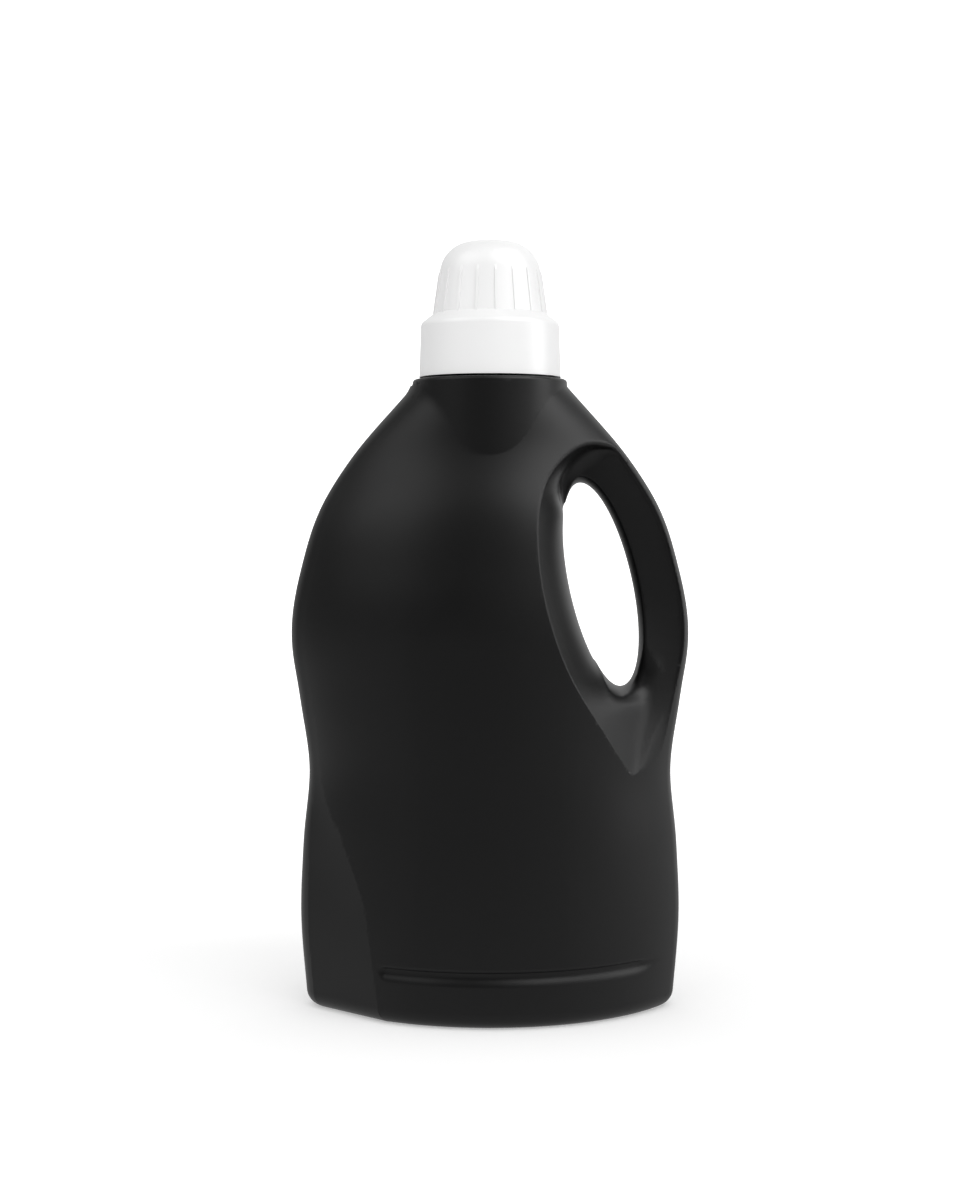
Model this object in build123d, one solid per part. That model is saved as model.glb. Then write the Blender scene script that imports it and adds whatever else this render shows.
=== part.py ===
from build123d import *

import os
from collections import namedtuple
from math import acos, atan2, cos, degrees, hypot, radians, sin, sqrt, tan

# A blow-moulded detergent jug with a hollow side handle, a press-in pour spout and a screw-on
# dosing cap. Millimetres, +Z up. The origin is at the middle of the foot, +X is the handle side,
# and the mould parts on the plane Y = 0, so the front (-Y) and the back are mirror images.

# Heights of the body's levels, each above the one below it
hip_rise = 38.0
flank_rise = 26.0
waist_rise = 27.0
swell_rise = 25.0
belly_rise = 27.0
shoulder_rise = 41.0
brow_rise = 16.0
slope_rise = 12.0
root_rise = 26.0

# Body widths at those levels
foot_width = 140.4
hip_width = 145.6
flank_width = 143.4
waist_width = 138.8
swell_width = 145.0
belly_width = 152.2
shoulder_width = 135.8
brow_width = 119.6
slope_width = 103.4
root_width = 58.0

# Body depths, front to back
foot_depth = 88.0
hip_depth = 90.0
waist_depth = 89.0
belly_depth = 89.0
shoulder_depth = 78.0
brow_depth = 67.0
slope_depth = 57.8
root_depth = 51.0

# Radius of the rounded left and right ends, seen from above
end_radius = 14.0
brow_end_radius = 12.0
slope_end_radius = 14.0
root_end_radius = 20.0

# Prow facets at the lower left: how far each one runs from the rounded end onto the panel
foot_facet = 27.0
hip_facet = 24.5
flank_facet = 15.0
waist_facet = 3.0

# Wall, foot and the groove above the foot
wall = 1.0
foot_round = 6.5
foot_ring = 9.5
push_up = 3.0
push_up_slant = 1.5
groove_z = 19.5
groove_height = 4.6
groove_depth = 1.1
groove_end_inset = 5.0

# Handle: a slanted finger opening between the body and a flattened bar
handle_inset = 33.7
opening_lift = 18.9
opening_length = 79.8
opening_width = 24.2
opening_tilt = 12.6
opening_flare = 3.0
opening_spare = 0.4
bar_depth, bar_lift = 18.0, 24.0
bar_overhang = 8.0
bar_end_radius = 6.0

# Crest of the hollow around the opening: how far left of the opening's middle it runs, its places
# against the body's levels, and the draft of its walls
arch_reach, arch_lift = 0.9, 6.0
crest_reach, crest_drop = 25.4, 1.0
crest_radius = 123.0
crest_slant = 58.0
crest_draft = 7.5

# Cheek below the opening: from the bar it swells past the opening's sill and out to the waist
sill_depth, sill_lift = 46.0, 3.0
cheek_depth, cheek_lift = 69.0, 9.0
merge_drop, merge_run, merge_swell = 12.0, 14.0, 3.0

# Neck: a round boss that grows out of the shoulders, and the finish that the cap screws onto
boss_radius = 29.4
boss_rise = 2.2
boss_rim_round = 1.4
neck_radius = 23.4
neck_wall = 1.6
neck_height = 18.6

# Pour spout: a cup pressed into the mouth, with a slanted lip and a slot that drains it
flange_thickness = 1.5
spout_wall = 1.3
skirt_depth = 12.0
tube_radius = 12.5
lip_rise = 21.0
lip_slant = 43.0
drain_slot = 5.0

# Dosing cap: a screw collar, a sloped shoulder and a ribbed dome
collar_gap = 0.8
thread_room = 1.8
collar_wall = 1.8
collar_taper = 0.7
collar_round = 2.5
roof_thickness = 1.1
cap_shoulder_run, cap_shoulder_rise = 4.9, 3.8
dome_height = 27.2
dome_taper = 3.85
dome_round = 12.5
dome_wall = 1.5
rib_count = 18
rib_turn = 6.0
rib_width = 0.85
rib_height = 0.5
rib_fade = 8.0

# Number of steps between the sections that the body is lofted through
section_count = 21

# Heights above the foot
hip_z = hip_rise
flank_z = hip_z + flank_rise
waist_z = flank_z + waist_rise
swell_z = waist_z + swell_rise
belly_z = swell_z + belly_rise
shoulder_z = belly_z + shoulder_rise
brow_z = shoulder_z + brow_rise
slope_z = brow_z + slope_rise
root_z = slope_z + root_rise
boss_top_z = root_z + boss_rise
neck_top_z = boss_top_z + neck_height
seat_z = neck_top_z + flange_thickness

# The opening's middle, and the mouth that the spout fits into
opening_x = belly_width / 2 - handle_inset
opening_z = belly_z + opening_lift
mouth_radius = neck_radius - neck_wall

quarter = 90
standing = (Align.CENTER, Align.CENTER, Align.MIN)
hanging = (Align.CENTER, Align.CENTER, Align.MAX)

Level = namedtuple("Level", "z width depth end_radius facet")

# Each size of the body's section, as stops (height, value) of a smooth upright curve
width_stops = [
    (0, foot_width),
    (hip_z, hip_width),
    (flank_z, flank_width),
    (waist_z, waist_width),
    (swell_z, swell_width),
    (belly_z, belly_width),
    (shoulder_z, shoulder_width),
    (brow_z, brow_width),
    (slope_z, slope_width),
    (root_z, root_width),
]
depth_stops = [
    (0, foot_depth),
    (hip_z, hip_depth),
    (waist_z, waist_depth),
    (belly_z, belly_depth),
    (shoulder_z, shoulder_depth),
    (brow_z, brow_depth),
    (slope_z, slope_depth),
    (root_z, root_depth),
]
end_stops = [
    (0, end_radius),
    (shoulder_z, end_radius),
    (brow_z, brow_end_radius),
    (slope_z, slope_end_radius),
    (root_z, root_end_radius),
]
facet_stops = [
    (0, foot_facet),
    (hip_z, hip_facet),
    (flank_z, flank_facet),
    (waist_z, waist_facet),
    (root_z, waist_facet),
]
merge_z = waist_z - merge_drop
blade_stops = [
    (merge_z - merge_run, waist_depth + merge_swell),
    (merge_z, waist_depth),
    (waist_z + cheek_lift, cheek_depth),
    (swell_z + sill_lift, sill_depth),
    (belly_z + bar_lift, bar_depth),
    (root_z, bar_depth),
]


def on_curve(stops, z):
    """Value at height z on a smooth curve through the stops that doesn't overshoot them."""
    heights, values = zip(*stops)
    steps = [b - a for a, b in zip(heights, heights[1:])]
    rises = [(b - a) / h for a, b, h in zip(values, values[1:], steps)]
    slopes = [rises[0]]
    for before, after in zip(rises, rises[1:]):
        slopes.append(2 * before * after / (before + after) if before * after > 0 else 0)
    slopes.append(rises[-1])
    i = max([k for k in range(len(steps)) if z >= heights[k]], default=0)
    t = (z - heights[i]) / steps[i]
    if t < 0:
        return values[0] + slopes[0] * (z - heights[0])
    start = values[i] * (1 + 2 * t) + slopes[i] * steps[i] * t
    stop = values[i + 1] * (3 - 2 * t) - slopes[i + 1] * steps[i] * (1 - t)
    return start * (1 - t) ** 2 + stop * t**2


def level_at(z):
    sizes = [on_curve(stops, z) for stops in (width_stops, depth_stops, end_stops, facet_stops)]
    return Level(z, *sizes)


def blade_at(z):
    """Section of the flat blade inside the hollow: the bar, and the cheek below it."""
    width = on_curve(width_stops, z) + 2 * bar_overhang
    return Level(z, width, on_curve(blade_stops, z), bar_end_radius, waist_facet)


def flipped(point):
    return (point[0], -point[1])


def panel_arc(level):
    """Radius of the panel arcs, their centre's distance behind the middle, and the ends' centre."""
    end_x = level.width / 2 - level.end_radius
    half_depth = level.depth / 2
    radius = (end_x**2 + half_depth**2 - level.end_radius**2) / (2 * (half_depth - level.end_radius))
    return radius, radius - half_depth, end_x


def crease_at(level):
    """Where the prow facet meets the front panel."""
    radius, panel_y, end_x = panel_arc(level)
    x = level.facet - end_x * radius / (radius - level.end_radius)
    return x, panel_y - sqrt(radius**2 - x**2)


def outline(level, inset):
    """Section of the body at one level, moved inwards by inset: two panel arcs that run into
    round ends, with a flat prow facet between each panel and the left end."""
    radius, panel_y, end_x = panel_arc(level)
    arc = radius - inset
    span = radius - level.end_radius
    join = (end_x * arc / span, panel_y - panel_y * arc / span)
    # The facet is the line from its crease on the panel that just touches the left end's round.
    crease_x, crease_y = crease_at(level)
    away = hypot(crease_x + end_x, crease_y)
    turn = atan2(crease_y, crease_x + end_x) - acos(level.end_radius / away)
    out_x, out_y = cos(turn), sin(turn)
    end_arc = level.end_radius - inset
    touch = (-end_x + end_arc * out_x, end_arc * out_y)
    along = -touch[0] * out_y + (touch[1] - panel_y) * out_x
    run = -along + sqrt(along**2 - touch[0] ** 2 - (touch[1] - panel_y) ** 2 + arc**2)
    crease = (touch[0] - run * out_y, touch[1] + run * out_x)
    half_width, half_depth = level.width / 2 - inset, level.depth / 2 - inset
    edges = [
        ThreePointArc(join, (0, -half_depth), crease),
        Line(crease, touch),
        ThreePointArc(touch, (-half_width, 0), flipped(touch)),
        Line(flipped(touch), flipped(crease)),
        ThreePointArc(flipped(crease), (0, half_depth), flipped(join)),
        ThreePointArc(flipped(join), (half_width, 0), join),
    ]
    return Pos(0, 0, level.z) * make_face(edges)


def body(inset):
    """The body without its handle. Its loft starts one step below the foot and is cut off there,
    so that it is true at the foot."""
    step = root_z / section_count
    form = loft([outline(level_at(i * step), inset) for i in range(-1, section_count + 1)])
    spare = Box(2 * belly_width, 2 * belly_width, 2 * step, align=hanging)
    form -= Pos(0, 0, inset) * spare
    return fillet(form.faces().sort_by(Axis.Z)[0].edges(), foot_round - inset)


def boss(inset):
    """The round boss under the neck, sunk into the shoulders. Only the outside has a round rim."""
    post = Cylinder(boss_radius - inset, boss_top_z - inset - shoulder_z, align=standing)
    if inset == 0:
        post = fillet(post.edges().sort_by(Axis.Z)[-1], boss_rim_round)
    return Pos(0, 0, shoulder_z) * post


def blade(inset):
    low = merge_z - merge_run
    step = (root_z - low) / section_count
    return loft([outline(blade_at(low + i * step), inset) for i in range(section_count + 1)])


def upright(y):
    """Drawing plane at depth y, seen from the front: its x is X and its y is Z."""
    return Plane(origin=(0, y, 0), x_dir=(1, 0, 0), z_dir=(0, -1, 0))


def crest(draw):
    """Outline of the hollow, open to the right of the handle, drawn in towards the opening: an
    arch, a long arc down the body and a slanted run that passes under the cheek."""
    arch_x, left_x = opening_x - arch_reach, opening_x - crest_reach
    crest_z, top_z = shoulder_z - crest_drop, slope_z + arch_lift - draw
    arch_width, arch_height = arch_x - left_x - draw, top_z - crest_z
    arch = EllipticalCenterArc((arch_x, crest_z), arch_width, arch_height, quarter, arc_size=quarter)
    sweep = CenterArc((left_x + crest_radius, crest_z), crest_radius - draw, 2 * quarter, quarter - crest_slant)
    knee = sweep @ 1
    foot_x = knee.X + (knee.Y - flank_z) / tan(radians(crest_slant))
    rest = Polyline(
        knee,
        (foot_x, flank_z),
        (belly_width, flank_z),
        (belly_width, top_z),
        (arch_x, top_z),
    )
    return make_face([arch, sweep, *rest.edges()])


def hollow(inset):
    """The front and back hollows around the handle, down to the blade."""
    sections = []
    for y, draw in ((-belly_depth, -crest_draft), (0, crest_draft), (belly_depth, -crest_draft)):
        sections.append(upright(y) * crest(draw - inset))
    return loft(sections, ruled=True) - blade(inset)


def opening(inset):
    """The finger opening: an oval that widens from the parting plane to the bar's faces and runs
    straight on from there, out through the thicker sill."""
    half = bar_depth / 2
    curve = (half**2 + opening_flare**2) / (2 * opening_flare)
    ovals = []
    for share in (-1, -2 / 3, -1 / 3, 0, 1 / 3, 2 / 3, 1):
        y = share * (half + opening_spare)
        grow = inset + curve - sqrt(curve**2 - y**2)
        oval = Ellipse(opening_width / 2 + grow, opening_length / 2 + grow)
        ovals.append(upright(y) * Pos(opening_x, opening_z) * Rot(0, 0, opening_tilt) * oval)
    form = loft(ovals)
    for oval in (ovals[0], ovals[-1]):
        form += extrude(oval, (sill_depth - bar_depth) / 2, dir=(0, oval.center().Y, 0))
    return form


def groove(inset):
    """The shallow groove across the front panel, from the prow's crease to the handle side."""
    level = level_at(groove_z)
    radius, panel_y, end_x = panel_arc(level)
    half = groove_height / 2 + inset
    deep = groove_depth + inset
    profile = Polyline(
        (radius - deep, half - groove_depth / 2),
        (radius + groove_depth, half + groove_depth / 2),
        (radius + groove_depth, -half - groove_depth / 2),
        (radius - deep, -half + groove_depth / 2),
        close=True,
    )
    start = degrees(acos(crease_at(level)[0] / radius))
    stop = degrees(acos((level.width / 2 - groove_end_inset) / radius))
    ring = revolve(Plane.XZ * make_face(profile), Axis.Z, start - stop)
    return Pos(0, panel_y, groove_z) * Rot(0, 0, -start) * ring


def push_up_form(inset):
    """The shallow dish under the foot, which leaves a ring to stand on."""
    foot = level_at(0)
    rim = outline(foot, foot_ring - inset)
    roof = outline(foot._replace(z=push_up + inset), foot_ring + push_up_slant - inset)
    return loft([rim, roof], ruled=True)


def jug_form(inset):
    """The closed form of the jug up to the boss, moved inwards by inset."""
    form = body(inset) + boss(inset)
    front = groove(inset)
    for cut in (hollow(inset), opening(inset), front, mirror(front, Plane.XZ), push_up_form(inset)):
        form -= cut
    return form


def bottle():
    """The blown bottle: its form less the hollow inside, with the open neck on top."""
    neck = Pos(0, 0, boss_top_z) * Cylinder(neck_radius, neck_height, align=standing)
    mouth = Pos(0, 0, neck_top_z) * Cylinder(mouth_radius, neck_height + 2 * wall, align=hanging)
    return jug_form(0) - jug_form(wall) + neck - mouth


def pour_spout():
    """The insert in the mouth: a flange on the neck's rim, a skirt, and a floor with a pour tube
    that is cut off on a slant, highest on the side away from the handle."""
    floor_z = neck_top_z - skirt_depth
    lip_z = neck_top_z + lip_rise
    skirt_radius = mouth_radius - spout_wall
    cup = Pos(0, 0, neck_top_z) * Cylinder(neck_radius, flange_thickness, align=standing)
    cup += Pos(0, 0, neck_top_z) * Cylinder(mouth_radius, skirt_depth, align=hanging)
    cup -= Pos(0, 0, seat_z) * Cylinder(skirt_radius, seat_z - floor_z - spout_wall, align=hanging)
    tube = Pos(0, 0, floor_z) * Cylinder(tube_radius, lip_z - floor_z, align=standing)
    slant = radians(lip_slant)
    lip = Plane(origin=(-tube_radius, 0, lip_z), z_dir=(sin(slant), 0, cos(slant)))
    cup += split(tube, bisect_by=lip, keep=Keep.BOTTOM)
    cup -= Pos(0, 0, floor_z) * Cylinder(tube_radius - spout_wall, lip_z - floor_z, align=standing)
    slot = Box(2 * tube_radius, drain_slot, lip_z - floor_z, align=(Align.MIN, Align.CENTER, Align.MIN))
    rim = Cylinder(skirt_radius, lip_z - floor_z, align=standing)
    return cup - Pos(0, 0, floor_z + spout_wall) * (slot & rim)


def turned(points, rounds):
    """A solid of revolution about Z under a line of (radius, height) points, which starts and ends
    on the axis; rounds gives the fillet at some of the points."""
    profile = make_face(Polyline(*points, close=True))
    for place, radius in rounds:
        corner = profile.vertices().sort_by_distance(points[place])[0]
        profile = fillet(corner, radius)
    return revolve(Plane.XZ * profile, Axis.Z)


def dosing_cap():
    """The cap: a collar round the neck, whose roof sits on the spout's flange, and a hollow dome
    with ribs to grip."""
    collar_z = boss_top_z + collar_gap
    collar_bore = neck_radius + thread_room
    collar_radius = collar_bore + collar_wall
    collar_top = (collar_radius - collar_taper, seat_z + roof_thickness)
    base = (collar_top[0] - cap_shoulder_run, collar_top[1] + cap_shoulder_rise)
    top = (base[0] - dome_taper, base[1] + dome_height)
    outside = turned(
        [(0, collar_z), (collar_radius, collar_z), collar_top, base, top, (0, top[1])],
        [(2, collar_round), (4, dome_round)],
    )
    inner_top = (top[0] - dome_wall, top[1] - dome_wall)
    inside = turned(
        [(0, seat_z), (base[0] - dome_wall, seat_z), inner_top, (0, inner_top[1])],
        [(2, dome_round - dome_wall)],
    )
    inside += Pos(0, 0, collar_z) * Cylinder(collar_bore, seat_z - collar_z, align=standing)
    # Each rib follows the dome's side and dives into the dome's rounded top.
    side = Vector(*base), Vector(*top)
    along = (side[1] - side[0]).normalized()
    out = Vector(along.Y, -along.X)
    sink = out * (dome_wall / 2)
    crown_z = top[1] - dome_round
    shoulder = side[0] + along * ((crown_z - base[1]) / along.Y)
    end = shoulder + along * rib_fade - out * dome_wall
    rib = Polyline(
        side[0] - sink,
        side[0] + out * rib_height - along * rib_height,
        shoulder + out * rib_height,
        end,
        shoulder - sink,
        close=True,
    )
    blank = extrude(Plane.XZ * make_face(rib), rib_width / 2, both=True)
    ribs = [Rot(0, 0, rib_turn - quarter + 4 * quarter * i / rib_count) * blank for i in range(rib_count)]
    return outside - inside + ribs


os.makedirs("parts", exist_ok=True)
for piece in (bottle, pour_spout, dosing_cap):
    export_step(piece(), f"parts/{piece.__name__}.step")
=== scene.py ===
# %% [markdown]
# # A detergent jug in a white studio
# The jug is a black bottle, blown in one piece with a hollow handle. A pour spout is pressed into its
# mouth and a white dosing cap is screwed onto its neck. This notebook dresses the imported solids: it
# mixes the plastics, meshes a smooth skin for the bottle, turns its neck with a screw thread, and sets
# up the photograph's camera and light. The scene is in metres, while the bottle's own sizes are in
# millimetres. +Z is up and the front of the jug faces -Y.

import math

import bmesh
import bpy
import numpy as np
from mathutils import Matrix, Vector


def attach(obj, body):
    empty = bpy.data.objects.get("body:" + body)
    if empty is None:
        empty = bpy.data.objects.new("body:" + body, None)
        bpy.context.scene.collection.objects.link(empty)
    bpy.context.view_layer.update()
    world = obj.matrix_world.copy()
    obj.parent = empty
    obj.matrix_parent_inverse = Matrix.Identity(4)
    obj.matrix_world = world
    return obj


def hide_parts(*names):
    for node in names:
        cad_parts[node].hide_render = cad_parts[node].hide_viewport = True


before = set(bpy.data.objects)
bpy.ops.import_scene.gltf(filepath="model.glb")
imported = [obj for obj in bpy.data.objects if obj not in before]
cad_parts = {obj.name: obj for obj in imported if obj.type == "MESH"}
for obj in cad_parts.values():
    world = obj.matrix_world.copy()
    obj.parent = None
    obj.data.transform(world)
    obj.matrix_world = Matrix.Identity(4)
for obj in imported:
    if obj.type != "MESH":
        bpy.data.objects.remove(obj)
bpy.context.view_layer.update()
MM = 0.001

# %% [markdown]
# ## Moulded plastic
# Blown and injection-moulded plastics look plain, but their gloss is never even: the mould leaves a
# fine grain, and the sheen drifts a little over a hand's width. A picture could hold both, but two
# noises need no picture and no unwrapping. Every material here uses them, so they live in one shader
# node group with its own inputs.

# %% The mould skin group
GRAIN_DETAIL, DRIFT_DETAIL = 3.0, 2.0
DRIFT_LOW, DRIFT_HIGH = 0.3, 0.7
SKIN_INPUTS = {"Grain Scale": 2600.0, "Drift Scale": 22.0, "Roughness Low": 0.4, "Roughness High": 0.5}


def set_inputs(node, values):
    for key, value in values.items():
        node.inputs[key].default_value = value


def mould_skin_group():
    group = bpy.data.node_groups.new("mould_skin", "ShaderNodeTree")
    for name, value in SKIN_INPUTS.items():
        made = group.interface.new_socket(name, in_out="INPUT", socket_type="NodeSocketFloat")
        made.default_value = value
    for name in ("Roughness", "Height"):
        group.interface.new_socket(name, in_out="OUTPUT", socket_type="NodeSocketFloat")
    nodes, links = group.nodes, group.links
    inputs, outputs = nodes.new("NodeGroupInput"), nodes.new("NodeGroupOutput")
    place = nodes.new("ShaderNodeTexCoord")
    grain, drift = nodes.new("ShaderNodeTexNoise"), nodes.new("ShaderNodeTexNoise")
    for noise, scale, detail in (
        (grain, "Grain Scale", GRAIN_DETAIL),
        (drift, "Drift Scale", DRIFT_DETAIL),
    ):
        noise.inputs["Detail"].default_value = detail
        links.new(place.outputs["Object"], noise.inputs["Vector"])
        links.new(inputs.outputs[scale], noise.inputs["Scale"])
    gloss = nodes.new("ShaderNodeMapRange")
    set_inputs(gloss, {"From Min": DRIFT_LOW, "From Max": DRIFT_HIGH})
    links.new(drift.outputs["Fac"], gloss.inputs["Value"])
    links.new(inputs.outputs["Roughness Low"], gloss.inputs["To Min"])
    links.new(inputs.outputs["Roughness High"], gloss.inputs["To Max"])
    links.new(gloss.outputs["Result"], outputs.inputs["Roughness"])
    links.new(grain.outputs["Fac"], outputs.inputs["Height"])
    return group


mould_skin = mould_skin_group()
print("node group", mould_skin.name)

# %% [markdown]
# The bottle is black polyethylene, the cap white polypropylene and the spout the same plastic left
# uncoloured. Each is a Principled BSDF in its own material. A plastic is dyed through, so its colour
# is one plain value on the shader; only the roughness and the grain's bump come from the group.

# %% The three plastics
BUMP_STRENGTH = 0.25


def plastic(name, colour, roughness, grain_scale, grain_depth, specular=0.5):
    material = bpy.data.materials.new(name)
    material.use_nodes = True
    nodes, links = material.node_tree.nodes, material.node_tree.links
    shader = nodes["Principled BSDF"]
    set_inputs(shader, {"Base Color": (*colour, 1.0), "Specular IOR Level": specular})
    skin = nodes.new("ShaderNodeGroup")
    skin.node_tree = mould_skin
    low, high = roughness
    set_inputs(skin, {"Grain Scale": grain_scale, "Roughness Low": low, "Roughness High": high})
    bump = nodes.new("ShaderNodeBump")
    set_inputs(bump, {"Strength": BUMP_STRENGTH, "Distance": grain_depth})
    links.new(skin.outputs["Roughness"], shader.inputs["Roughness"])
    links.new(skin.outputs["Height"], bump.inputs["Height"])
    links.new(bump.outputs["Normal"], shader.inputs["Normal"])
    return material


black_hdpe = plastic("black_hdpe", colour=(0.004, 0.004, 0.0042), roughness=(0.40, 0.46),
                     grain_scale=2600.0, grain_depth=0.02 * MM, specular=0.3)
white_pp = plastic("white_pp", colour=(0.85, 0.85, 0.85), roughness=(0.32, 0.38),
                   grain_scale=3200.0, grain_depth=0.01 * MM)
natural_pp = plastic("natural_pp", colour=(0.74, 0.74, 0.71), roughness=(0.28, 0.36),
                     grain_scale=3200.0, grain_depth=0.01 * MM)
finishes = {"bottle": black_hdpe, "dosing_cap": white_pp, "pour_spout": natural_pp}
for node, material in finishes.items():
    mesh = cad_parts[node].data
    mesh.materials.clear()
    mesh.materials.append(material)
print("materials", [m.name for m in bpy.data.materials])

# %% [markdown]
# ## The bottle as a distance
# A blown bottle has no sharp edge: the plastic is pressed against the mould by air and bridges every
# corner with a round. Bevels on a mesh could give such rounds, but they break where several of them
# meet, as they do around the handle. So the bottle is meshed from a signed distance: a function of a
# point that is negative inside the plastic and zero on its surface. Two distances are combined with a
# round of a chosen radius, and the distance's slope gives exact normals.
#
# The body's width and depth change with height. Each is given as a few pairs of height and value,
# and runs between them on a curve that never overshoots, so that no bulge appears between two pairs.

# %% Curves that never overshoot
def eased(stops, z):
    heights, values = np.array(stops, float).T
    steps = np.diff(heights)
    rises = np.diff(values) / steps
    slopes = np.concatenate([rises[:1], np.zeros(len(rises) - 1), rises[-1:]])
    for i in range(1, len(rises)):
        if rises[i - 1] * rises[i] > 0:
            slopes[i] = 2 * rises[i - 1] * rises[i] / (rises[i - 1] + rises[i])
    i = np.clip(np.searchsorted(heights, z, side="right") - 1, 0, len(steps) - 1)
    t = (z - heights[i]) / steps[i]
    start = values[i] * (1 + 2 * t) + slopes[i] * steps[i] * t
    stop = values[i + 1] * (3 - 2 * t) - slopes[i + 1] * steps[i] * (1 - t)
    below = values[0] + slopes[0] * (z - heights[0])
    return np.where(t < 0, below, start * (1 - t) ** 2 + stop * t**2)


print("a straight run's middle", float(eased([(0, 0), (10, 10)], np.array(5.0))), "of 10")

# %% [markdown]
# The solids are lofted through sections at even heights, and the skin has to follow them. So each
# size is read at the same heights, and a cubic spline goes through those readings. Its curvature is
# even, so that reflections don't break at a section.
#
# `END` is the radius of the body's round ends, `FACET` the length of the flat facets beside its left
# end, and `BLADE` the depth of the blade-like bar inside the hollow.

# %% Sizes of the sections
SECTIONS, ROOT, WAIST = 21, 238.0, 91.0
WIDTH = [(0, 140.4), (38, 145.6), (64, 143.4), (91, 138.8), (116, 145.0), (143, 152.2), (184, 135.8),
         (200, 119.6), (212, 103.4), (238, 58.0)]
DEPTH = [(0, 88.0), (38, 90.0), (91, 89.0), (143, 89.0), (184, 78.0), (200, 67.0), (212, 57.8),
         (238, 51.0)]
END = [(0, 14.0), (184, 14.0), (200, 12.0), (212, 14.0), (238, 20.0)]
FACET = [(0, 27.0), (38, 24.5), (64, 15.0), (91, 3.0), (238, 3.0)]
BLADE = [(65, 92.0), (79, 89.0), (100, 69.0), (119, 46.0), (167, 18.0), (238, 18.0)]
BLADE_FOOT = BLADE[0][0]


def spline(stops, low):
    grid = np.linspace(low, ROOT, SECTIONS + (2 if low < 0 else 1))
    values, h = eased(stops, grid), grid[1] - grid[0]
    n = len(grid)
    bend = np.eye(n) * 4 + np.eye(n, k=1) + np.eye(n, k=-1)
    bend[0, :2], bend[-1, -2:] = (1, 0), (0, 1)
    pull = np.zeros(n)
    pull[1:-1] = 6 * (values[2:] - 2 * values[1:-1] + values[:-2]) / h**2
    curve = np.linalg.solve(bend, pull)

    def at(z):
        place = np.clip((z - low) / h, 0, n - 1)
        i = np.minimum(place.astype(int), n - 2)
        t = place - i
        s = 1 - t
        cubic = (s**3 - s) * curve[i] + (t**3 - t) * curve[i + 1]
        return s * values[i] + t * values[i + 1] + cubic * h * h / 6

    return at


body_sizes = [spline(stops, -ROOT / SECTIONS) for stops in (WIDTH, DEPTH, END, FACET)]
body_width = body_sizes[0]
blade_depth = spline(BLADE, BLADE_FOOT)
print("width at the waist", round(float(body_width(np.array(WAIST))), 1), "mm")

# %% [markdown]
# `cut` keeps what lies in both of two forms and `join` what lies in either. A plain smooth minimum
# would be shorter, but its round grows or shrinks with the angle. These take the cosine of the angle
# between the two surfaces' normals, so that the round has its true radius at any angle. `ease` goes
# softly from 0 to 1 and lets a radius change along an edge.

# %% Rounded cuts and joins
LEAST_COSINE, MOST_COSINE = -0.999, 0.99995
TINY = 1e-9


def cut(a, b, cosine, radius):
    cosine = np.clip(cosine, LEAST_COSINE, MOST_COSINE)
    grown_a, grown_b = a + radius, b + radius
    corner = (grown_a > cosine * grown_b) & (grown_b > cosine * grown_a)
    square = grown_a**2 + grown_b**2 - 2 * cosine * grown_a * grown_b
    arc = np.sqrt(np.maximum(square, 0) / (1 - cosine**2)) - radius
    return np.where(corner, arc, np.maximum(a, b))


def join(a, b, cosine, radius):
    return -cut(-a, -b, cosine, radius)


def ease(value, low, high):
    t = np.clip((value - low) / (high - low), 0, 1)
    return t * t * (3 - 2 * t)


print("a 2 mm round takes", round(float(cut(0.0, 0.0, 0.0, 2.0)), 2), "mm off a square corner")

# %% [markdown]
# A section of the body is a lens: two wide panel arcs that run into round ends. The front and the back
# are alike, so `y` stands for the distance from the parting plane, where the two halves of the mould
# meet.

# %% The lens
def panel(width, depth, end):
    end_x, half = width / 2 - end, depth / 2
    radius = (end_x**2 + half**2 - end**2) / (2 * (half - end))
    return radius, radius - half, end_x


def lens(x, y, width, depth, end):
    radius, back, end_x = panel(width, depth, end)
    to_panel, to_end = np.hypot(x, y + back), np.hypot(abs(x) - end_x, y) + TINY
    on_end = end_x * (y + back) < back * abs(x)
    gone = np.where(on_end, to_end - end, to_panel - radius)
    turn_x = np.where(on_end, np.sign(x) * (abs(x) - end_x) / to_end, x / to_panel)
    turn_y = np.where(on_end, y / to_end, (y + back) / to_panel)
    return gone, turn_x, turn_y


print("front panel's radius at the waist",
      round(float(panel(*[size(np.array(WAIST)) for size in body_sizes[:3]])[0])), "mm")

# %% [markdown]
# The body adds a flat facet between each panel and the left end, so that its low left side looks like
# a ship's prow. The blade inside the hollow is a thinner lens, a little wider than the body. `upright`
# corrects either distance for the lean of the surface between two heights.

# %% Prow and blade
FACET_ROUND = 0.9
BAR_OVERHANG, BAR_END = 8.0, 6.0
LEAN_STEP = 0.4


def prow(x, y, z):
    width, depth, end, facet = [size(z) for size in body_sizes]
    gone, turn_x, turn_y = lens(x, y, width, depth, end)
    radius, back, end_x = panel(width, depth, end)
    crease_x = facet - end_x * radius / (radius - end)
    crease_y = np.sqrt(radius**2 - crease_x**2) - back
    away = np.hypot(crease_x + end_x, crease_y)
    turn = np.arctan2(crease_y, crease_x + end_x) + np.arccos(end / away)
    flat = (x - crease_x) * np.cos(turn) + (y - crease_y) * np.sin(turn)
    cosine = turn_x * np.cos(turn) + turn_y * np.sin(turn)
    return cut(gone, flat, cosine, FACET_ROUND), turn_x, turn_y


def blade(x, y, z):
    width = body_width(z) + 2 * BAR_OVERHANG
    return lens(x, y, width, blade_depth(z), np.full_like(z, BAR_END))


def upright(section, x, y, z):
    here, turn_x, turn_y = section(x, y, z)
    lean = section(x, y, z + LEAN_STEP)[0] - section(x, y, z - LEAN_STEP)[0]
    lean = lean / (2 * LEAN_STEP)
    long = np.sqrt(1 + lean**2)
    return here / long, np.array([turn_x, turn_y, lean]) / long


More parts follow.
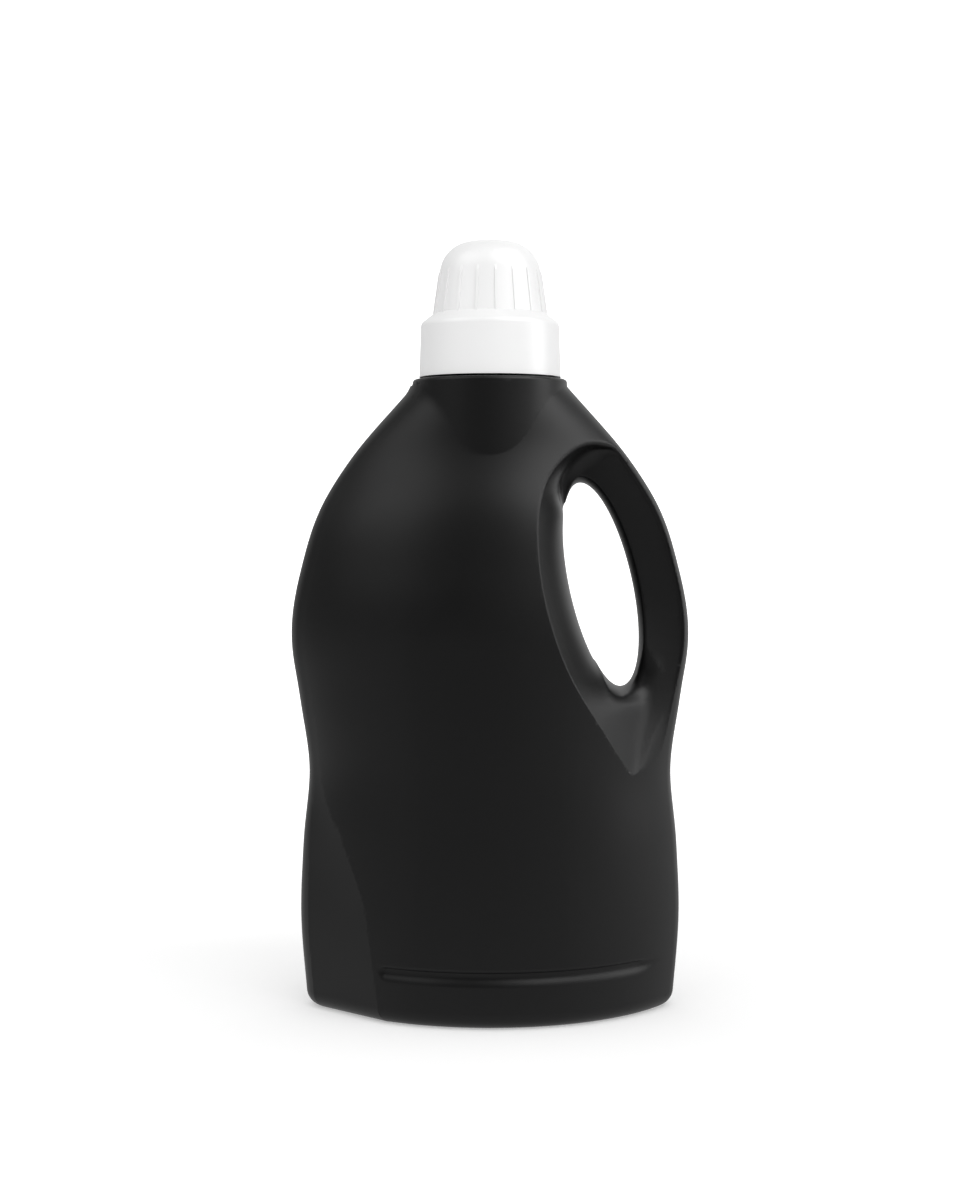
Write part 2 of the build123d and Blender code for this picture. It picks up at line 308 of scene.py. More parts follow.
print("blade's depth at the waist", round(float(blade_depth(np.array(WAIST))), 1), "mm")

# %% [markdown]
# ## The handle
# Fingers go through a tilted oval. On its right it flares towards the bar's faces, so that the edge is
# kind to the hand. On its left there is no bar: the hollow's wall runs straight into the oval. `left`
# says how far a point belongs to that wall, from 0 to 1, and fades towards the oval's head and foot.

# %% The finger opening
OPENING, OPENING_TILT, OPENING_HALF = (42.4, 161.9), math.radians(12.6), (12.1, 39.9)
FLARE, FLARE_TURN, FLARE_LIMIT = 3.4, 1.6, 1.3
LEFT_SIDE, LEFT_FOOT, LEFT_HEAD = (-2, 9), (-48, -26), (-50, -28)
LIP, SILL_LIP, SILL_SPAN = 1.2, 5.3, (24, 38)


def oval(u, v, half_u, half_v):
    round_uv = np.hypot(u / half_u, v / half_v) + TINY
    slope = np.hypot(u / half_u**2, v / half_v**2) / round_uv + TINY
    turn_u, turn_v = u / half_u**2 / round_uv / slope, v / half_v**2 / round_uv / slope
    return (round_uv - 1) / slope, turn_u, turn_v


def opening(x, y, z):
    cos, sin = math.cos(OPENING_TILT), math.sin(OPENING_TILT)
    u = (x - OPENING[0]) * cos + (z - OPENING[1]) * sin
    v = (z - OPENING[1]) * cos - (x - OPENING[0]) * sin
    left = ease(-u, *LEFT_SIDE) * ease(v, *LEFT_FOOT) * ease(-v, *LEFT_HEAD)
    face = blade_depth(np.maximum(z, BLADE_FOOT)) / 2
    share = np.minimum(y / face, FLARE_LIMIT)
    rest = np.sqrt(FLARE_TURN**2 - share**2)
    size = (1 - left) * FLARE / (FLARE_TURN - math.sqrt(FLARE_TURN**2 - 1))
    grow, lean = size * (FLARE_TURN - rest), size * share / rest / face
    gone, turn_u, turn_v = oval(u, v, OPENING_HALF[0] + grow, OPENING_HALF[1] + grow)
    normal = np.array([turn_u * cos - turn_v * sin, -lean, turn_u * sin + turn_v * cos])
    lip = LIP + SILL_LIP * ease(-v, *SILL_SPAN)
    long = np.sqrt(1 + lean**2)
    return gone / long, normal / long, lip, left


print("opening", 2 * OPENING_HALF[0], "by", 2 * OPENING_HALF[1], "mm")

# %% [markdown]
# The hollow around the handle is bounded on the left by the crest: an arch at the top, a long arc down
# the body and a slanted straight run. On the right it stops a little short of the body's edge, which
# leaves a thin rim along the handle.

# %% The crest and the rim
ARCH_X, CREST_LEFT, CREST_Z, CREST_TOP = 41.5, 17.2, 183.0, 218.0
CREST_RADIUS, CREST_SLANT = 123.0, math.radians(58)
RIM_INSET, RIM_STEP = 1.6, 0.5


def crest_line(x, z):
    arch, arch_x, arch_z = oval(np.minimum(x - ARCH_X, 0), np.maximum(z - CREST_Z, 0),
                                ARCH_X - CREST_LEFT, CREST_TOP - CREST_Z)
    u, v = x - CREST_LEFT - CREST_RADIUS, z - CREST_Z
    long = np.hypot(u, v)
    out_x, out_z = -math.sin(CREST_SLANT), -math.cos(CREST_SLANT)
    straight = v * out_x - u * out_z > 0
    run = np.where(straight, u * out_x + v * out_z, long) - CREST_RADIUS
    run_x, run_z = np.where(straight, out_x, u / long), np.where(straight, out_z, v / long)
    high = z > CREST_Z
    return np.where(high, arch, run), np.where(high, arch_x, run_x), np.where(high, arch_z, run_z)


def rim_line(x, z):
    level = np.clip(z, 0, ROOT)
    lean = (body_width(level + RIM_STEP) - body_width(level - RIM_STEP)) / (4 * RIM_STEP)
    return (x - body_width(level) / 2) / np.sqrt(1 + lean**2) + RIM_INSET


print("crest at its left end", float(crest_line(np.array(CREST_LEFT), np.array(CREST_Z))[0]), "mm off")

# %% [markdown]
# From the crest the hollow's wall leans in by the mould's draft, which lets the bottle leave the mould.
# On the left it bends on into the opening, and below the opening it flattens into a ramp, the cheek.
# `wall_normal` measures which way this bent wall faces, because its formula would be long.

# %% The hollow's wall
CREST_DRAFT, WALL_BEND = 5.0, 3
BROW_EDGE, BROW_SWELL, BROW_SPAN = 1, 9, (195, 212)
CHEEK_SPAN, CHEEK_RUN, CHEEK_BEND = (-150, -105), 45, 2
RIM_COSINE, RIM_ROUND = 0.6, 7.0
WALL_STEP = 0.05


def hollow(x, y, z, gap, gap_out, left):
    line, line_x, line_z = crest_line(x, z)
    width, depth, end, _ = [size(np.clip(z, 0, ROOT)) for size in body_sizes]
    radius, back, _ = panel(width, depth, end)
    brow = BROW_EDGE + BROW_SWELL * ease(z, *BROW_SPAN)
    half = np.hypot(np.sqrt(np.maximum(radius**2 - x**2, back**2)) - back, brow)
    share = np.minimum(y / half, 1)
    low = ease(-z, *CHEEK_SPAN)
    reach = left * (gap - line) + (1 - left) * (CREST_DRAFT + CHEEK_RUN * low)
    bend = WALL_BEND - CHEEK_BEND * low
    drop = 1 - share**bend
    part = drop * left
    gone = line + drop * reach
    normal = np.array([line_x * (1 - part) + gap_out[0] * part,
                       -bend * share ** (bend - 1) / half * reach,
                       line_z * (1 - part) + gap_out[2] * part])
    long = np.linalg.norm(normal, axis=0) + TINY
    return cut(gone / long, rim_line(x, z), RIM_COSINE, RIM_ROUND), normal / long


def wall_normal(x, y, z):
    def wall(*place):
        gap, gap_out, _, left = opening(*place)
        return hollow(*place, gap, gap_out, left)[0]

    here = wall(x, y, z)
    beside = [wall(x + WALL_STEP, y, z), wall(x, y + WALL_STEP, z), wall(x, y, z + WALL_STEP)]
    out = np.array(beside) - here
    return out / (np.linalg.norm(out, axis=0) + TINY)


on_wall = np.array([[22.0], [30.0], [165.0]])
print("the wall's normal beside the opening", wall_normal(*on_wall)[:, 0].round(2))

# %% [markdown]
# ## The whole form
# The trunk stands on a rounded foot, and the boss under the cap is a short cylinder on its shoulders.
# On its left the boss runs out softly into the shoulder; on its right it keeps a tight seam.

# %% Trunk and boss
FOOT_FLOOR, FOOT_ROUND = -8, 6.5
BOSS_RADIUS, BOSS_TOP, BOSS_RIM = 29.4, 240.2, 1.4
SEAM_ROUND, SEAM_BLEND, SEAM_SPAN = 1, 13, (-4, 12)


def trunk_and_boss(x, y, z):
    trunk, trunk_out = upright(prow, x, y, np.clip(z, FOOT_FLOOR, ROOT))
    form = cut(trunk, -z, -trunk_out[2], FOOT_ROUND)
    far = np.hypot(x, y) + TINY
    seam = (trunk_out[0] * x + trunk_out[1] * y) / far
    form = join(form, far - BOSS_RADIUS, seam, SEAM_ROUND + SEAM_BLEND * ease(-x, *SEAM_SPAN))
    return cut(form, z - BOSS_TOP, 0, BOSS_RIM), trunk_out


print("boss", 2 * BOSS_RADIUS, "mm across, up to", BOSS_TOP, "mm")

# %% [markdown]
# The handle is cut out of the trunk: first the hollow, down to the bar, and then the opening. The crest
# and the bar keep small rounds, while the cheek under the opening merges into the waist with a large
# one. The valley between the bar and the wall is widest far from the rim.

# %% Hollow, bar and opening
BAR_SINK, BAR_BLEND = 6, 3
VALLEY, VALLEY_MORE, VALLEY_CHEEK, VALLEY_SPAN = 2, 5, 12, (3, 12)
EDGE, BAR_EDGE_LESS = 1.4, -0.4
MERGE, MERGE_SPAN, MERGE_COSINE, MERGE_SIDE = 50, (-150, -110), (0.8, 0.95), (1, 5)
OPENING_EXTRA = 0.4


def with_handle(form, trunk_out, x, y, z):
    level = np.clip(z, BLADE_FOOT, ROOT)
    bar, bar_out = upright(blade, x, y, level)
    gap, gap_out, lip, left = opening(x, y, z)
    side, side_out = hollow(x, y, z, gap, gap_out, left)
    bar = bar + (blade_depth(level) / 2 + BAR_SINK) * left
    wide = VALLEY_MORE + VALLEY_CHEEK * ease(-z, *CHEEK_SPAN)
    valley = VALLEY + wide * ease(-rim_line(x, z), *VALLEY_SPAN)
    inner = join(bar, -side, -(bar_out * wall_normal(x, y, z)).sum(0), valley)
    on_bar = ease(-bar - side, -BAR_BLEND, BAR_BLEND)
    inner_out = on_bar * bar_out - (1 - on_bar) * side_out
    inner_out /= np.linalg.norm(inner_out, axis=0) + TINY
    corner = (trunk_out * inner_out).sum(0)
    merge = MERGE * ease(-z, *MERGE_SPAN) * ease(corner, *MERGE_COSINE) * ease(-side, *MERGE_SIDE)
    form = cut(form, inner, corner, EDGE + on_bar * (BAR_EDGE_LESS + merge))
    return cut(form, -gap - OPENING_EXTRA * left, -(inner_out * gap_out).sum(0), lip)


print("the bar's rounds", EDGE + BAR_EDGE_LESS, "mm, the crest's", EDGE, "mm")

# %% [markdown]
# Low on each panel a shallow groove runs across and fades out at both ends. The foot's middle is pushed
# up into a dish, so that the bottle stands on a ring and doesn't rock. A carved line in the material
# would be simpler, but a bump doesn't catch light at its edges as real depth does.

# %% Groove and dish
GROOVE_Z, GROOVE_HALF, GROOVE_DEPTH, GROOVE_RIGHT = 19.5, 1.75, 1.1, 68.0
GROOVE_FADE_LEFT, GROOVE_FADE_RIGHT = 5, 14
GROOVE_SLOPE_UP, GROOVE_SLOPE_DOWN = 0.5, 1.6
GROOVE_BED_ROUND, GROOVE_EDGE_ROUND = 0.5, 0.8
DISH_RING, DISH_RISE, DISH_LEAN = 9.5, 3.0, 0.5
DISH_TOP_ROUND, DISH_EDGE_ROUND = 1.0, 1.2


def groove(form, x, y, z):
    width, depth, end, facet = [size(np.array(GROOVE_Z)) for size in body_sizes]
    radius, back, end_x = panel(width, depth, end)
    left = facet - end_x * radius / (radius - end)
    fade = ease(x, left, left + GROOVE_FADE_LEFT)
    fade = fade * ease(-x, -GROOVE_RIGHT, GROOVE_FADE_RIGHT - GROOVE_RIGHT)
    deep = np.hypot(x, y + back) - radius + GROOVE_DEPTH * (2 * fade - 1)
    above = z - GROOVE_Z - GROOVE_HALF - deep * GROOVE_SLOPE_UP
    below = GROOVE_Z - GROOVE_HALF / 3 - z - deep * GROOVE_SLOPE_DOWN
    sides = np.maximum(above / math.hypot(1, GROOVE_SLOPE_UP), below / math.hypot(1, GROOVE_SLOPE_DOWN))
    return cut(form, -cut(sides, -deep, 0, GROOVE_BED_ROUND), 0, GROOVE_EDGE_ROUND)


def dish(form, x, y, z):
    ring = prow(x, y, np.zeros_like(z))[0] + DISH_RING + z * DISH_LEAN
    return cut(form, -cut(ring, z - DISH_RISE, 0, DISH_TOP_ROUND), 0, DISH_EDGE_ROUND)


def jug(p):
    x, y, z = p[:, 0], abs(p[:, 1]), p[:, 2]
    form, trunk_out = trunk_and_boss(x, y, z)
    form = with_handle(form, trunk_out, x, y, z)
    return dish(groove(form, x, y, z), x, y, z)


print("distance at the waist's middle", jug(np.array([[0.0, 0.0, WAIST]])).round(1)[0], "mm")

# %% [markdown]
# ## From the distance to a mesh
# Points are pulled onto the surface along the distance's slope, which is measured a small step to each
# side. A move is kept short, so that no point jumps across the thin bar.

# %% Pulling points onto the surface
SLOPE_STEP, LEAST_SQUARE, LONGEST_MOVE = 0.02, 0.2, 1.5


def slope(field, p):
    out = np.empty_like(p)
    for k in range(3):
        shift = np.zeros(3)
        shift[k] = SLOPE_STEP
        out[:, k] = (field(p + shift) - field(p - shift)) / (2 * SLOPE_STEP)
    return out


def settle(field, p, rounds):
    for _ in range(rounds):
        g = slope(field, p)
        move = -field(p) / np.maximum((g * g).sum(1), LEAST_SQUARE)
        p = p + np.clip(move, -LONGEST_MOVE, LONGEST_MOVE)[:, None] * g
    return p


print("a point settles at", settle(jug, np.array([[0.0, -46.0, WAIST]]), rounds=3).round(2)[0])

# %% [markdown]
# The surface is found on a grid. Marching cubes would do, but leaves slivers; here each cell that the
# surface crosses gets one point, the mean of where its edges are crossed.

# %% One point in each crossed cell
def edge_ends(k):
    first = tuple(slice(0, -1) if i == k else slice(None) for i in range(3))
    second = tuple(slice(1, None) if i == k else slice(None) for i in range(3))
    return first, second


def cell_points(grid, value):
    cells = tuple(n - 1 for n in value.shape)
    total, hits = np.zeros(cells + (3,)), np.zeros(cells)
    for k in range(3):
        first, second = edge_ends(k)
        change = (value[first] < 0) != (value[second] < 0)
        fall = np.where(change, value[first] - value[second], 1)
        share = np.where(change, value[first] / fall, 0)
        point = grid[first] + (grid[second] - grid[first]) * share[..., None]
        a, b = (k + 1) % 3, (k + 2) % 3
        for da, db in ((0, 0), (0, 1), (1, 0), (1, 1)):
            part = [slice(None)] * 3
            part[a], part[b] = slice(da, cells[a] + da), slice(db, cells[b] + db)
            part = tuple(part)
            total += np.where(change[part][..., None], point[part], 0)
            hits += change[part]
    return total, hits


print("a grid edge along X runs between", edge_ends(0))

# %% [markdown]
# Four cells lie round each grid edge. Where the surface crosses the edge, their four points make a
# face, turned so that it looks out of the plastic.

# %% One face round each crossed edge
GRID_PARTS, GRID_ROUNDS = 12, 4


def cell_faces(value, number):
    cells = number.shape
    faces = []
    for k in range(3):
        first, second = edge_ends(k)
        start = value[first] < 0
        spot = np.argwhere(start != (value[second] < 0))
        a, b = (k + 1) % 3, (k + 2) % 3
        keep = (spot[:, a] > 0) & (spot[:, b] > 0)
        spot = spot[keep & (spot[:, a] < cells[a]) & (spot[:, b] < cells[b])]
        ring = []
        for da, db in ((1, 1), (0, 1), (0, 0), (1, 0)):
            cell = spot.copy()
            cell[:, a] -= da
            cell[:, b] -= db
            ring.append(number[tuple(cell.T)])
        quads = np.stack(ring, 1)
        back = ~start[tuple(spot.T)]
        quads[back] = quads[back][:, ::-1]
        faces.append(quads)
    return np.concatenate(faces)


def skin(field, axes):
    grid = np.stack(np.meshgrid(*axes, indexing="ij"), -1)
    parts = np.array_split(grid.reshape(-1, 3), GRID_PARTS)
    value = np.concatenate([field(part) for part in parts]).reshape(grid.shape[:3])
    total, hits = cell_points(grid, value)
    crossed = hits > 0
    number = np.full(hits.shape, -1)
    number[crossed] = np.arange(int(crossed.sum()))
    points = settle(field, total[crossed] / hits[crossed][:, None], GRID_ROUNDS)
    return points, cell_faces(value, number)


ball_axes = [np.linspace(-2, 2, 9)] * 3
ball = skin(lambda p: np.linalg.norm(p, axis=1) - 1, ball_axes)
print("a trial ball has", len(ball[0]), "points and", len(ball[1]), "faces")

# %% [markdown]
# The grid is too coarse for the small rounds. A finer grid everywhere would be heavy, so only edges
# whose ends face different ways are halved, and the new points are pulled onto the surface too.

# %% Finer points along the rounds
MOST_TURN, SHORTEST_EDGE, FINE_ROUNDS = math.radians(9), 0.7, 3


def refine(field, points, faces, halvings):
    draft = bpy.data.meshes.new("draft")
    draft.from_pydata(points.tolist(), [], faces.tolist())
    bm = bmesh.new()
    bm.from_mesh(draft)
    bpy.data.meshes.remove(draft)
    for _ in range(halvings):
        bm.verts.index_update()
        facing = slope(field, np.array([v.co for v in bm.verts]))
        facing /= np.linalg.norm(facing, axis=1)[:, None]
        ends = np.array([[v.index for v in edge.verts] for edge in bm.edges])
        turned = (facing[ends[:, 0]] * facing[ends[:, 1]]).sum(1) < math.cos(MOST_TURN)
        long = np.array([edge.calc_length() for edge in bm.edges]) > SHORTEST_EDGE
        bent = [edge for edge, chosen in zip(bm.edges, turned & long) if chosen]
        bmesh.ops.subdivide_edges(bm, edges=bent, cuts=1, use_grid_fill=True)
        settled = settle(field, np.array([v.co for v in bm.verts]), FINE_ROUNDS)
        for v, place in zip(bm.verts, settled):
            v.co = place
    return bm


print("edges that turn more than", round(math.degrees(MOST_TURN)), "degrees are halved")

# %% [markdown]
# The bottle's wall is about a millimetre thick, and with the cap off one can look into it. So the same
# is done for the inside of the wall, further in and with coarser points. A Solidify modifier would be
# quicker, but would fold over itself in the tight rounds. Both skins have a hole in the top, which the
# neck stands on, and the grid is finer at the groove's height.

# %% Outside and inside of the wall
WALL = 1.0
MOUTH_RADIUS, NECK_RADIUS, NECK_TOP = 21.8, 23.4, 258.8
GRID_HALF_X, GRID_HALF_Y, GRID_LOW, GRID_ABOVE = 79, 48, -3, 4
GROOVE_LOW, GROOVE_HIGH, GROOVE_STEP = 15, 24, 0.55
OUTSIDE_STEP, OUTSIDE_HALVINGS, INSIDE_STEP, INSIDE_HALVINGS = 1.7, 2, 4.0, 0
TOP_SLACK = 0.5


def grid_axes(step):
    halves = [math.ceil(half / step) * step for half in (GRID_HALF_X, GRID_HALF_Y)]
    heights = [np.arange(GRID_LOW, GROOVE_LOW, step),
               np.arange(GROOVE_LOW, GROOVE_HIGH, min(step, GROOVE_STEP)),
               np.arange(GROOVE_HIGH, BOSS_TOP + GRID_ABOVE, step)]
    return [np.arange(-half, half + step / 2, step) for half in halves] + [np.concatenate(heights)]


def shell(field, step, halvings, top, inwards):
    points, faces = skin(field, grid_axes(step))
    bm = refine(field, points, faces, halvings)
    mouth = [v for v in bm.verts if v.co.z > top - TOP_SLACK and v.co.xy.length < MOUTH_RADIUS]
    bmesh.ops.delete(bm, geom=mouth, context="VERTS")
    for v in bm.verts:
        if v.is_boundary:
            v.co.xy *= (MOUTH_RADIUS + NECK_RADIUS) / 2 / v.co.xy.length
    if inwards:
        bmesh.ops.reverse_faces(bm, faces=bm.faces[:])
    bm.verts.index_update()
    places = np.array([v.co for v in bm.verts])
    corners = [[v.index for v in face.verts] for face in bm.faces]
    bm.free()
    return places, corners, slope(field, places) * (-1 if inwards else 1)


outside = shell(jug, OUTSIDE_STEP, OUTSIDE_HALVINGS, BOSS_TOP, inwards=False)
inside = shell(lambda p: jug(p) + WALL, INSIDE_STEP, INSIDE_HALVINGS, BOSS_TOP - WALL, inwards=True)
print("points outside", len(outside[0]), "inside", len(inside[0]))

# %% [markdown]
# ## The neck
# The neck is round, so it is turned as on a lathe: a profile is swung round the axis in even spokes.
# A Screw modifier could do that too, but the thread changes the radius from spoke to spoke.

# %% A lathe
def lathe(radius_at, heights, spokes):
    turn = np.linspace(0, 2 * np.pi, spokes, endpoint=False)
    rows = np.array([radius_at(turn, i) for i in range(len(heights))])
    z = np.repeat(np.array(heights)[:, None], spokes, 1)
    places = np.stack([rows * np.cos(turn), rows * np.sin(turn), z], -1).reshape(-1, 3)
    corners = []
    for i in range(len(heights)):
        low, high = i * spokes, (i + 1) % len(heights) * spokes
        for k in range(spokes):
            after = (k + 1) % spokes
            corners.append([low + k, low + after, high + after, high + k])
    return places, corners


trial_ring = lathe(lambda turn, i: np.full_like(turn, 1.0 + i % 2), [0.0, 0.0, 1.0, 1.0], spokes=12)
print("a trial ring has", len(trial_ring[1]), "faces")

# %% [markdown]
# The thread is one and a half turns of a low ridge, whose ends run out into the wall as a moulded
# thread's do. The neck's rim has a small round outside and inside.

# %% Neck and thread
NECK_SPOKES, NECK_ROWS = 144, 46
THREAD_Z, THREAD_PITCH, THREAD_HEIGHT = 247.2, 4.2, 1.1
THREAD_TURNS, THREAD_RUN_OUT, THREAD_FLANK = 1.5, 0.12, (0.35, 1.25)
RIM_ROUND_OUT, RIM_ROUND_IN = 0.6, 0.4
RIM_ARC_IN, RIM_ARC_DOWN = 0.2, 0.15
neck_foot = BOSS_TOP - WALL
neck_wall = np.linspace(neck_foot, NECK_TOP - RIM_ROUND_OUT, NECK_ROWS)
neck_rim = [(NECK_RADIUS - RIM_ARC_IN, NECK_TOP - RIM_ARC_DOWN), (NECK_RADIUS - RIM_ROUND_OUT, NECK_TOP),
            (MOUTH_RADIUS + RIM_ROUND_IN, NECK_TOP), (MOUTH_RADIUS, NECK_TOP - RIM_ROUND_IN),
            (MOUTH_RADIUS, neck_foot)]


def neck_radius(turn, i):
    if i >= NECK_ROWS:
        return np.full_like(turn, neck_rim[i - NECK_ROWS][0])
    thread = np.zeros_like(turn)
    for lap in (0, 1):
        along = turn / (2 * np.pi) + lap
        run_out = ease(along, 0.0, THREAD_RUN_OUT)
        run_out = run_out * ease(-along, -THREAD_TURNS, THREAD_RUN_OUT - THREAD_TURNS)
        off = abs(neck_wall[i] - THREAD_Z - THREAD_PITCH * along)
        thread = np.maximum(thread, run_out * (1 - ease(off, *THREAD_FLANK)))
    return NECK_RADIUS + THREAD_HEIGHT * thread


neck = lathe(neck_radius, list(neck_wall) + [z for _, z in neck_rim], NECK_SPOKES)
print("points in the neck", len(neck[0]))

# %% [markdown]
# Both skins and the neck become one object, because the real bottle is one piece. The skins take their
# normals from the distance's slope, so that the gloss runs over the rounds without a break; the neck
# keeps Blender's own smooth normals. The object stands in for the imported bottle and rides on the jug.

# %% The bottle
def bottle_object():
    places, corners, facing = [], [], []
    count = 0
    for part in (outside, inside):
        places.append(part[0])
        corners += [[i + count for i in corner] for corner in part[1]]
        facing.append(part[2])
        count += len(part[0])
    corners += [[i + count for i in corner] for corner in neck[1]]
    mesh = bpy.data.meshes.new("bottle_skin")
    mesh.from_pydata((np.concatenate(places + [neck[0]]) * MM).tolist(), [], corners)
    mesh.shade_smooth()
    own = np.zeros((len(mesh.vertices), 3))
    own[:count] = np.concatenate(facing)
    mesh.normals_split_custom_set_from_vertices(own.tolist())
    mesh.materials.append(black_hdpe)
    made = bpy.data.objects.new("bottle_skin", mesh)
    bpy.context.collection.objects.link(made)
    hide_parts("bottle")
    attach(made, "jug")
    return made


bottle = bottle_object()
bottle.data.calc_loop_triangles()
print("bottle triangles", len(bottle.data.loop_triangles))

# %% [markdown]
# ## Studio
# The jug stands on a sheet of white paper that curves up behind it into a backdrop, as in a product
# studio. A plane and a wall would show a line where they meet; one swept sheet doesn't.

# %% Floor
SHEET_FRONT, SHEET_BACK, SHEET_HALF, SHEET_TOP = -1.4, 1.6, 3.0, 2.4
SHEET_CURVE, CURVE_STEPS = 0.6, 12


def floor_sheet():
    bend_y = SHEET_BACK - SHEET_CURVE
    line = [(SHEET_FRONT, 0.0), (bend_y, 0.0)]
    for i in range(1, CURVE_STEPS + 1):
        turn = math.radians(90 * i / CURVE_STEPS)
        line.append((bend_y + SHEET_CURVE * math.sin(turn), SHEET_CURVE - SHEET_CURVE * math.cos(turn)))
    line.append((SHEET_BACK, SHEET_TOP))
    verts = [(x, y, z) for y, z in line for x in (-SHEET_HALF, SHEET_HALF)]
    faces = [(2 * i, 2 * i + 1, 2 * i + 3, 2 * i + 2) for i in range(len(line) - 1)]
    mesh = bpy.data.meshes.new("floor_sheet")
    mesh.from_pydata(verts, [], faces)
    mesh.shade_smooth()
    sheet = bpy.data.objects.new("floor_sheet", mesh)
    bpy.context.collection.objects.link(sheet)
    return sheet


floor = floor_sheet()
print("floor sheet of", len(floor.data.polygons), "faces")

# %% [markdown]
# The paper looks different to different rays. The camera sees matt paper with a glow added, which grows
# towards the back: together they reach white, while the jug's soft shadow still shows round its foot.
# Mirrored and refracted rays see a glow alone, dimmer in front and on the left, so that the black
# plastic reflects a gradient. All other rays see plain matt paper.

# %% Floor paper
PAPER_GREY, WHITE = (0.7, 0.7, 0.7, 1.0), (1.0, 1.0, 1.0, 1.0)
SEEN_GLOW = {"From Min": 0.1, "From Max": 0.8, "To Min": 0.36, "To Max": 0.95}
MIRROR_GLOW = {"From Min": -0.1, "From Max": 0.7, "To Min": 0.6}
MIRROR_SIDE = {"From Min": -0.9, "From Max": 0.1, "To Min": 0.6, "To Max": 1.0}


def paper_glow(nodes, links, source, span):
    glow, strength = nodes.new("ShaderNodeEmission"), nodes.new("ShaderNodeMapRange")
    glow.inputs["Color"].default_value = WHITE
    set_inputs(strength, span)
    links.new(source, strength.inputs["Value"])
    links.new(strength.outputs["Result"], glow.inputs["Strength"])
    return glow, strength


def paper():
    material = bpy.data.materials.new("paper")
    material.use_nodes = True
    nodes, links = material.node_tree.nodes, material.node_tree.links
    nodes.clear()
    matt = nodes.new("ShaderNodeBsdfDiffuse")
    matt.inputs["Color"].default_value = PAPER_GREY
    spot, place = nodes.new("ShaderNodeNewGeometry"), nodes.new("ShaderNodeSeparateXYZ")
    links.new(spot.outputs["Position"], place.inputs["Vector"])
    seen, _ = paper_glow(nodes, links, place.outputs["Y"], SEEN_GLOW)
    sheen, rise = paper_glow(nodes, links, place.outputs["Y"], MIRROR_GLOW)
    across = nodes.new("ShaderNodeMapRange")
    set_inputs(across, MIRROR_SIDE)
    links.new(place.outputs["X"], across.inputs["Value"])
    links.new(across.outputs["Result"], rise.inputs["To Max"])
    lit = nodes.new("ShaderNodeAddShader")
    links.new(matt.outputs["BSDF"], lit.inputs[0])
    links.new(seen.outputs["Emission"], lit.inputs[1])
    ray, mirrored = nodes.new("ShaderNodeLightPath"), nodes.new("ShaderNodeMath")
    mirrored.operation = "MAXIMUM"
    links.new(ray.outputs["Is Glossy Ray"], mirrored.inputs[0])
    links.new(ray.outputs["Is Transmission Ray"], mirrored.inputs[1])
    shined, shown = nodes.new("ShaderNodeMixShader"), nodes.new("ShaderNodeMixShader")
    out = nodes.new("ShaderNodeOutputMaterial")
    for mix, chooser, plain, special in (
        (shined, mirrored.outputs["Value"], matt.outputs["BSDF"], sheen.outputs["Emission"]),
        (shown, ray.outputs["Is Camera Ray"], shined.outputs["Shader"], lit.outputs["Shader"]),
    ):
        links.new(chooser, mix.inputs["Fac"])
        links.new(plain, mix.inputs[1])
        links.new(special, mix.inputs[2])
    links.new(shown.outputs["Shader"], out.inputs["Surface"])
    return material


floor.data.materials.append(paper())
print("floor material", floor.data.materials[0].name)

# %% [markdown]
# ## Camera
# The photo was taken from a little under a metre away, a bit above the jug's waist and tipped slightly
# down. The place was worked out from the silhouette and the ellipses of the cap.

# %% Camera
CAMERA_PLACE = (-3.83 * MM, -800 * MM, 191 * MM)
CAMERA_PITCH, CAMERA_LENS, CAMERA_SENSOR = 2.5, 62.67, 36.0
camera_data = bpy.data.cameras.new("camera")
camera_data.sensor_fit = "VERTICAL"
camera_data.sensor_height = CAMERA_SENSOR
camera_data.lens = CAMERA_LENS
camera = bpy.data.objects.new("camera", camera_data)
camera.location = CAMERA_PLACE
camera.rotation_euler = (math.radians(90 - CAMERA_PITCH), 0, 0)
bpy.context.collection.objects.link(camera)
bpy.context.scene.camera = camera
print("camera", round(-CAMERA_PLACE[1], 2), "m in front, lens", CAMERA_LENS, "mm")

# %% [markdown]
# ## Light
# Black plastic shows little but reflections, and a white cap little but matt light, so the two are lit
# apart. Three soft boxes are seen in gloss only and draw the shine on the shoulders, strongest on the
# right. A fill box lights only what is matt.

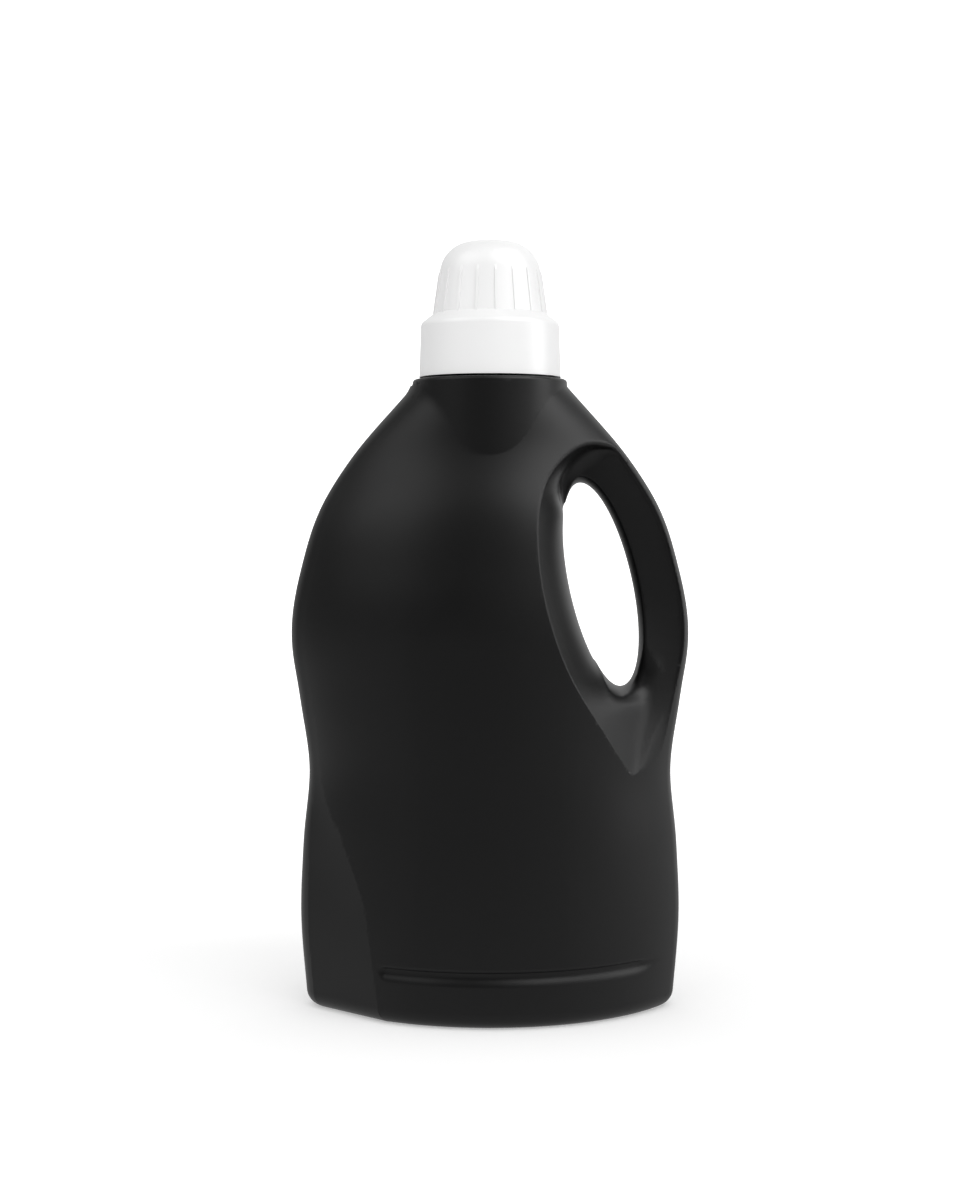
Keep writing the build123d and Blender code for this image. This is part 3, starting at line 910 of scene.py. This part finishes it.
# %% Soft boxes
LIGHT_AIM = (0.0, 0.0, 0.15)


def soft_box(name, place, size, power, on_gloss):
    data = bpy.data.lights.new(name, "AREA")
    data.shape = "RECTANGLE"
    data.size, data.size_y = size
    data.energy = power
    lamp = bpy.data.objects.new(name, data)
    lamp.location = place
    lamp.rotation_euler = (Vector(LIGHT_AIM) - Vector(place)).to_track_quat("-Z", "Y").to_euler()
    lamp.visible_diffuse, lamp.visible_glossy = not on_gloss, on_gloss
    bpy.context.collection.objects.link(lamp)
    return lamp


boxes = [
    soft_box("key_box", place=(0.85, -0.55, 1.3), size=(1.5, 1.3), power=24.0, on_gloss=True),
    soft_box("left_box", place=(-0.95, -0.45, 1.1), size=(1.1, 1.1), power=7.0, on_gloss=True),
    soft_box("right_card", place=(1.2, -0.1, 0.45), size=(0.6, 0.6), power=4.4, on_gloss=True),
    soft_box("fill_box", place=(0.7, -1.0, 1.0), size=(1.5, 1.5), power=5.6, on_gloss=False),
]
print("lamps", [box.name for box in boxes])

# %% [markdown]
# The surround is a white room. It lights what is matt from all sides, but glossy rays see it almost
# dark, or the whole bottle would look grey.

# %% Surround
ROOM_STRENGTH, ROOM_IN_GLOSS = 1.0, 0.06


def surround():
    world = bpy.data.worlds.new("surround")
    world.use_nodes = True
    nodes, links = world.node_tree.nodes, world.node_tree.links
    room, dark = nodes["Background"], nodes.new("ShaderNodeBackground")
    set_inputs(room, {"Color": WHITE, "Strength": ROOM_STRENGTH})
    set_inputs(dark, {"Color": WHITE, "Strength": ROOM_IN_GLOSS})
    ray, mix = nodes.new("ShaderNodeLightPath"), nodes.new("ShaderNodeMixShader")
    links.new(ray.outputs["Is Glossy Ray"], mix.inputs["Fac"])
    links.new(room.outputs["Background"], mix.inputs[1])
    links.new(dark.outputs["Background"], mix.inputs[2])
    links.new(mix.outputs["Shader"], nodes["World Output"].inputs["Surface"])
    return world


bpy.context.scene.world = surround()
bpy.context.scene.view_settings.view_transform = "Standard"
print("world", bpy.context.scene.world.name)
